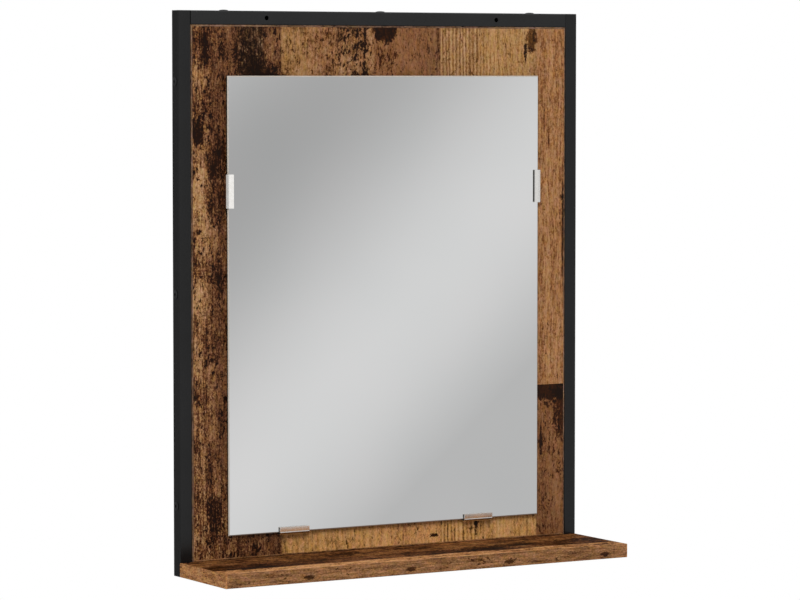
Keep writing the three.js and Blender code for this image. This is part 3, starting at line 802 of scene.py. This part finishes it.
def rails():
    """The rails with their screw holes. The top one has the wall holes through both walls, and the
    bottom one the shelf screws' holes in front and wider ones behind, to reach their heads."""
    clear = 30
    for end, z in (("top", FRAME_TOP - TUBE / 2), ("bottom", FRAME_BOTTOM + TUBE / 2)):
        bar = square_tube(2 * RAIL_END)
        bmesh.ops.transform(bar, matrix=aim((0, MID_DEPTH, z), X), verts=bar.verts)
        holes = [round_bit(SCREW_HOLE, (x, MID_DEPTH, z - TUBE), Z, 2 * TUBE)
                 for x in RAIL_SCREW_X]
        if end == "top":
            holes += [round_bit(WALL_HOLE, (sign * WALL_HOLE_X, -clear, z), Y, 2 * clear)
                      for side, sign in SIDES]
        else:
            holes += [round_bit(SCREW_HOLE, (x, -clear, z), Y, 2 * clear) for x in SHELF_SCREW_X]
            holes += [round_bit(ACCESS_HOLE, (x, MID_DEPTH, z), Y, clear) for x in SHELF_SCREW_X]
        mesh = drilled(mesh_of(bar, f"{end}_rail_tube"), holes)
        add_piece(f"{end}_rail_tube", mesh, [rail_coat], f"{end}_rail")


def add_screw(mesh, name, head, outward, material):
    """A copy of a screw with its head seated at a point, facing outward."""
    copy = mesh.copy()
    copy.name = f"{name}_turned"
    copy.transform(aim(Vector(head) * MM, outward))
    add_piece(f"{name}_turned", copy, [material], name)


def screws():
    big = screw_mesh("frame_screw", shank=1.9, length=35, head=4.75, rim=0.4, crown=1, pitch=1.6,
                     bits=hexagon_bits(crown=1, across=3))
    small = screw_mesh("clip_screw", shank=1.4, length=12, head=2.6, rim=0.7, crown=1.5,
                       pitch=1.1, bits=cross_bits(crown=1.5, across=2.8))
    for side, sign in SIDES:
        for number, z in enumerate(SIDE_SCREW_Z, 1):
            head = (sign * (FRAME_EDGE + TOUCH), MID_DEPTH, z)
            add_screw(big, f"{side}_screw_{number}", head, sign * X, black_screw)
    for end, z, outward in (("top", FRAME_TOP + TOUCH, Z), ("bottom", FRAME_BOTTOM - TOUCH, -Z)):
        for number, x in enumerate(RAIL_SCREW_X, 1):
            add_screw(big, f"{end}_screw_{number}", (x, MID_DEPTH, z), outward, black_screw)
    for number, x in enumerate(SHELF_SCREW_X, 1):
        head = (x, -TUBE + TUBE_WALL + TOUCH, FRAME_BOTTOM + TUBE / 2)
        add_screw(big, f"shelf_screw_{number}", head, Y, zinc_screw)
    for name, origin, inward, along in CLIPS:
        for number, offset in enumerate(CLIP_SCREW_ALONG, 1):
            head = (origin + inward * CLIP_SCREW_IN - Y * (CLIP_SHEET + TOUCH) + along * offset)
            add_screw(small, f"clip_{name}_screw_{number}", head, -Y, zinc_screw)


def clips():
    through = 2
    for name, origin, inward, along in CLIPS:
        strip = clip_shape()
        bmesh.ops.transform(strip, matrix=place(origin, inward, inward.cross(-Y)),
                            verts=strip.verts)
        holes = [round_bit(CLIP_HOLE, origin + inward * CLIP_SCREW_IN + along * offset
                           + Y * through, -Y, 2 * through) for offset in CLIP_SCREW_ALONG]
        mesh = drilled(mesh_of(strip, f"mirror_clip_{name}"), holes)
        add_piece(f"mirror_clip_{name}_strip", mesh, [nickel], f"mirror_clip_{name}")


def top_band():
    """The panel's top edge band, snug under the rail, so that no light comes through the joint."""
    low = FRAME_TOP - TUBE - 1.8
    high = FRAME_TOP - TUBE - 0.05
    strip = block(2 * BAND_END, TUBE, high - low)
    upper = [edge for edge in edges_along(strip, X) if edge.verts[0].co.z > 0]
    round_off(strip, upper, 0.6, 4)
    bmesh.ops.translate(strip, vec=(0, MID_DEPTH, (low + high) / 2), verts=strip.verts)
    holes = [round_bit(BAND_HOLE, (x, MID_DEPTH, low - 3), Z, 8) for x in RAIL_SCREW_X]
    mesh = drilled(mesh_of(strip, "panel_top_strip"), holes)
    add_piece("panel_top_strip", mesh, [panel_band_x], "panel_band_top")


def glass():
    """The mirror: silvering in front, backing paint behind, cut edges and an arris round both."""
    materials = [silvering, arris, glass_edge, backing]
    sheet = block(GLASS_WIDTH, GLASS_THICKNESS, GLASS_HEIGHT)
    for face in sheet.faces:
        seen = silvering if face.normal.y < -0.9 else backing if face.normal.y > 0.9 else glass_edge
        face.material_index = materials.index(seen)
    rims = [edge for edge in sheet.edges if any(abs(f.normal.y) > 0.9 for f in edge.link_faces)]
    round_off(sheet, rims, 1.1, 1, materials.index(arris))
    middle = (0, -TUBE - FOAM_THICKNESS - GLASS_THICKNESS / 2, GLASS_BOTTOM + GLASS_HEIGHT / 2)
    bmesh.ops.translate(sheet, vec=middle, verts=sheet.verts)
    mesh = mesh_of(sheet, "mirror_sheet", math.radians(10))
    add_piece("mirror_sheet", mesh, materials, "mirror_glass")


uprights()
rails()
screws()
clips()
top_band()
glass()
for material, names in (
    (plank_board, ["panel_board"]),
    (shelf_board, ["shelf_board"]),
    (band_x, ["panel_band_bottom", "shelf_band_front"]),
    (band_y_lit, ["shelf_band_left", "shelf_band_right"]),
    (panel_band_z, ["panel_band_left", "panel_band_right"]),
    (foam, [f"mirror_pad_{end}_{side}" for end in ("bottom", "top") for side, sign in SIDES]),
):
    for name in names:
        for slot in nodes[name].material_slots:
            slot.material = material


# Studio, in metres

WHITE = (1, 1, 1, 1)
scene = bpy.context.scene
scene.view_settings.view_transform = "Standard"

camera = bpy.data.objects.new("camera", bpy.data.cameras.new("camera"))
scene.collection.objects.link(camera)
yaw = math.radians(30.379)
pitch = math.radians(3.523)
ahead = Vector((math.sin(yaw) * math.cos(pitch), math.cos(yaw) * math.cos(pitch),
                -math.sin(pitch)))
camera.location = (-1.9961, -3.4552, -0.0607)
camera.rotation_euler = ahead.to_track_quat("-Z", "Y").to_euler()
camera.data.lens = 164.44
camera.data.sensor_width = 36
camera.data.clip_end = 50
scene.camera = camera


def glossy_room(tree, toward, forward):
    """What shines sees slanting bands of light grey, a tall pale strip ahead of the wall and a
    bright ceiling. It is a grey for each direction: turn is its angle from straight ahead of the
    wall, rise its angle up, and the bands are waves of slant."""
    per_turn = 39.39
    per_rise = -36.82
    first = 1.804
    trough = -0.29
    contrast = 0.15
    middle = 0.54
    turn = add(tree, "ShaderNodeMath", {0: toward[0], 1: forward}, operation="ARCTAN2").outputs[0]
    rise = add(tree, "ShaderNodeMath", {0: toward[2]}, operation="ARCSINE").outputs[0]
    slant = add(tree, "ShaderNodeMath", {0: turn, 1: per_turn, 2: first},
                operation="MULTIPLY_ADD").outputs[0]
    slant = add(tree, "ShaderNodeMath", {0: rise, 1: per_rise, 2: slant},
                operation="MULTIPLY_ADD").outputs[0]
    wave = add(tree, "ShaderNodeMath", {0: slant}, operation="COSINE").outputs[0]

    # Every other trough is filled to an even grey.
    half = add(tree, "ShaderNodeMath", {0: slant, 1: 0.5}, operation="MULTIPLY").outputs[0]
    half = add(tree, "ShaderNodeMath", {0: half}, operation="SINE").outputs[0]
    filled = add(tree, "ShaderNodeMapRange", {
        "Value": half, 1: 0.0, 2: 0.05, 3: -1.0, 4: trough,
    }).outputs[0]
    wave = add(tree, "ShaderNodeMath", {0: wave, 1: filled}, operation="MAXIMUM").outputs[0]
    grey = add(tree, "ShaderNodeMath", {0: wave, 1: contrast, 2: middle},
               operation="MULTIPLY_ADD").outputs[0]

    for angle, start, end, extra in (
        (turn, math.radians(10), math.radians(13), 0.5),
        (turn, math.radians(23), math.radians(26), -0.5),
        (turn, math.radians(35), math.radians(41), 0.2),
        (rise, -0.02, 0.1, 0.16),
        (rise, 0.25, 0.9, 0.1),
    ):
        more = add(tree, "ShaderNodeMapRange", {"Value": angle, 1: start, 2: end, 4: extra},
                   interpolation_type="SMOOTHSTEP").outputs[0]
        grey = add(tree, "ShaderNodeMath", {0: grey, 1: more}).outputs[0]
    dim_behind = add(tree, "ShaderNodeMapRange", {"Value": forward, 1: -0.85, 2: -0.3, 3: 0.3},
                     interpolation_type="SMOOTHSTEP").outputs[0]
    return add(tree, "ShaderNodeMath", {0: grey, 1: dim_behind}, operation="MULTIPLY").outputs[0]


def soft_room(tree, toward, forward):
    """Other light comes from all round, a little more from the left and the front, and most from
    behind the wall."""
    left = add(tree, "ShaderNodeMath", {0: toward[0], 1: -0.15, 2: 0.3},
               operation="MULTIPLY_ADD").outputs[0]
    front = add(tree, "ShaderNodeMath", {0: forward, 1: 0.1, 2: left},
                operation="MULTIPLY_ADD").outputs[0]
    wall = add(tree, "ShaderNodeMapRange", {"Value": forward, 1: -0.3, 2: -0.9, 4: 0.7},
               interpolation_type="SMOOTHSTEP").outputs[0]
    return add(tree, "ShaderNodeMath", {0: front, 1: wall}).outputs[0]


# The room is plain white to the camera.
world = bpy.data.worlds.new("studio")
world.use_nodes = True
scene.world = world
tree = world.node_tree
way = add(tree, "ShaderNodeTexCoord").outputs["Generated"]
toward = add(tree, "ShaderNodeSeparateXYZ", {0: way}).outputs
forward = add(tree, "ShaderNodeMath", {0: toward[1], 1: -1.0}, operation="MULTIPLY").outputs[0]
shine, fill, white = [
    add(tree, "ShaderNodeBackground", {0: WHITE, 1: strength}).outputs[0]
    for strength in (glossy_room(tree, toward, forward), soft_room(tree, toward, forward), 1.0)]
ray = add(tree, "ShaderNodeLightPath").outputs
unseen = add(tree, "ShaderNodeMixShader", {0: ray["Is Glossy Ray"], 1: fill, 2: shine}).outputs[0]
seen = add(tree, "ShaderNodeMixShader", {0: ray["Is Camera Ray"], 1: unseen, 2: white}).outputs[0]
tree.links.new(seen, tree.nodes["World Output"].inputs["Surface"])


def softbox(name, spot, size, watts):
    """A square lamp aimed at the middle of the mirror. What shines doesn't show it."""
    lamp = bpy.data.lights.new(name, "AREA")
    lamp.shape = "SQUARE"
    lamp.size = size
    lamp.energy = watts
    box = bpy.data.objects.new(name, lamp)
    scene.collection.objects.link(box)
    box.location = spot
    box.rotation_euler = (Vector((0, 0, -0.3)) - Vector(spot)).to_track_quat("-Z", "Y").to_euler()
    box.visible_glossy = False


softbox("key_light", spot=(-1.85, -3.2, 2.1), size=1.8, watts=132)
softbox("fill_light", spot=(1.6, -4.0, -0.3), size=2.4, watts=14)

# The floor, plain and pale, a good way below the mirror as in a room.
slab = bmesh.new()
bmesh.ops.create_grid(slab, x_segments=1, y_segments=1, size=2.5)
bmesh.ops.translate(slab, vec=(0, -1, -1.75), verts=slab.verts)
floor_mesh = bpy.data.meshes.new("floor")
slab.to_mesh(floor_mesh)
slab.free()
floor = bpy.data.objects.new("floor", floor_mesh)
scene.collection.objects.link(floor)
floor.visible_glossy = False
paint, tree, shader, spot = new_material("pale_floor_paint", {"Roughness": 0.8})
cloud = mottle(tree, spot, (400, 400, 400), 2.0)
colour = stain(tree, linear("#e9e9e7"), linear("#eeeeec"), cloud)
tree.links.new(colour, shader.inputs["Base Color"])
glow = add(tree, "ShaderNodeEmission", {0: WHITE, 1: 1.0}).outputs[0]
ray = add(tree, "ShaderNodeLightPath").outputs
seen = add(tree, "ShaderNodeMixShader", {
    0: ray["Is Camera Ray"], 1: shader.outputs[0], 2: glow,
}).outputs[0]
tree.links.new(seen, tree.nodes["Material Output"].inputs["Surface"])
floor_mesh.materials.append(paint)
